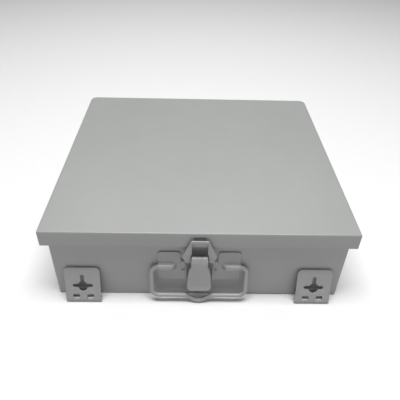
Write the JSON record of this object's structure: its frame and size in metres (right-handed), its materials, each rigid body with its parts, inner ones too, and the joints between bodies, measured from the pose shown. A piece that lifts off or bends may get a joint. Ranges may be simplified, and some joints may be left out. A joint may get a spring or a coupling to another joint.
{
  "type": "fiber termination box",
  "caption": "Shallow steel wall case with a hinged lid, draw latch, wire handle and fold-out keyhole ears, for terminating and splicing fibre cables.",
  "frame": {"origin": "centre of the case's back face, which it lies on", "axes": "+X to the right seen from the latch, +Y towards the lid's hinge, +Z out of the back face towards the lid"},
  "size_m": [0.3436, 0.3357, 0.102],
  "materials": {
    "grey_paint": "fine textured semi-gloss powder coat",
    "zinc_steel": "bright zinc plated",
    "black_rubber": "matt",
    "gasket_foam": "closed-cell foam",
    "tray_plastic": "satin moulded",
    "clear_plastic": "clear, polished",
    "holder_rubber": "soft matt",
    "adapter_blue": "moulded",
    "cap_plastic": "moulded",
    "brass": "bright"
  },
  "bodies": {
    "case": {"case_base": "grey_paint", "hinge_leaf_case": "zinc_steel", "hinge_pin": "zinc_steel", "hinge_rivets": "grey_paint", "latch_plate": "grey_paint", "latch_bracket": "grey_paint", "latch_pin": "zinc_steel", "latch_rivets": "grey_paint", "ear_pins": "zinc_steel", "ear_rivets": "grey_paint", "ear_bracket_front_left": "grey_paint", "ear_bracket_front_right": "grey_paint", "ear_bracket_rear_left": "grey_paint", "ear_bracket_rear_right": "grey_paint", "grommet_left_front": "black_rubber", "grommet_left_rear": "black_rubber", "grommet_right_front": "black_rubber", "grommet_right_rear": "black_rubber", "clamp_base_left_front": "tray_plastic", "clamp_base_left_rear": "tray_plastic", "clamp_base_right_front": "tray_plastic", "clamp_base_right_rear": "tray_plastic", "clamp_strap_left_front": "tray_plastic", "clamp_strap_left_rear": "tray_plastic", "clamp_strap_right_front": "tray_plastic", "clamp_strap_right_rear": "tray_plastic", "clamp_screws": "zinc_steel", "splice_tray": "tray_plastic", "tray_posts": "zinc_steel", "tray_screws": "zinc_steel", "tray_cover_pins": "zinc_steel", "splice_holder_front": "holder_rubber", "splice_holder_rear": "holder_rubber", "adapter_panel": "grey_paint", "adapter_1": "adapter_blue", "adapter_2": "adapter_blue", "adapter_3": "adapter_blue", "adapter_4": "adapter_blue", "adapter_5": "adapter_blue", "adapter_6": "adapter_blue", "adapter_7": "adapter_blue", "adapter_8": "adapter_blue", "dust_caps": "cap_plastic", "fibre_spool_left": "tray_plastic", "fibre_spool_right": "tray_plastic", "floor_screws": "zinc_steel", "earth_stud": "brass", "earth_nuts": "brass"},
    "lid": {"lid": "grey_paint", "lid_gasket": "gasket_foam", "hinge_leaf_lid": "zinc_steel"},
    "lever": {"latch_lever": "grey_paint", "hook_pin": "zinc_steel"},
    "hook": {"latch_hook": "grey_paint"},
    "handle": {"carry_handle": "grey_paint"},
    "tray_cover": {"tray_cover": "clear_plastic"},
    "ear_front_left": {"ear_front_left": "grey_paint"},
    "ear_front_right": {"ear_front_right": "grey_paint"},
    "ear_rear_left": {"ear_rear_left": "grey_paint"},
    "ear_rear_right": {"ear_rear_right": "grey_paint"}
  },
  "joints": [
    {"name": "lid_swing", "type": "hinge", "parent": "case", "child": "lid", "pos_m": [0, 0.1562, 0.0797], "axis": [-1, 0, 0], "range_deg": [0, 130]},
    {"name": "lever_swing", "type": "hinge", "parent": "case", "child": "lever", "pos_m": [0, -0.1626, 0.0675], "axis": [-1, 0, 0], "range_deg": [0, 100]},
    {"name": "hook_swing", "type": "hinge", "parent": "lever", "child": "hook", "pos_m": [0, -0.1595, 0.0605], "axis": [-1, 0, 0], "range_deg": [-100, 0]},
    {"name": "handle_swing", "type": "hinge", "parent": "case", "child": "handle", "pos_m": [0, -0.1563, 0.0486], "axis": [-1, 0, 0], "range_deg": [-9, 95]},
    {"name": "tray_cover_swing", "type": "hinge", "parent": "case", "child": "tray_cover", "pos_m": [-0.042, -0.0197, 0.0242], "axis": [-1, 0, 0], "range_deg": [0, 38]},
    {"name": "ear_swing_front_left", "type": "hinge", "parent": "case", "child": "ear_front_left", "pos_m": [-0.132, -0.1646, 0.003], "axis": [1, 0, 0], "range_deg": [0, 105.95]},
    {"name": "ear_swing_front_right", "type": "hinge", "parent": "case", "child": "ear_front_right", "pos_m": [0.132, -0.1646, 0.003], "axis": [1, 0, 0], "range_deg": [0, 105.95]},
    {"name": "ear_swing_rear_left", "type": "hinge", "parent": "case", "child": "ear_rear_left", "pos_m": [-0.132, 0.1646, 0.003], "axis": [-1, 0, 0], "range_deg": [0, 105.95]},
    {"name": "ear_swing_rear_right", "type": "hinge", "parent": "case", "child": "ear_rear_right", "pos_m": [0.132, 0.1646, 0.003], "axis": [-1, 0, 0], "range_deg": [0, 105.95]}
  ],
  "couplings": [
    {"joint": "hook_swing", "follows": "lever_swing", "ratio": -1}
  ]
}
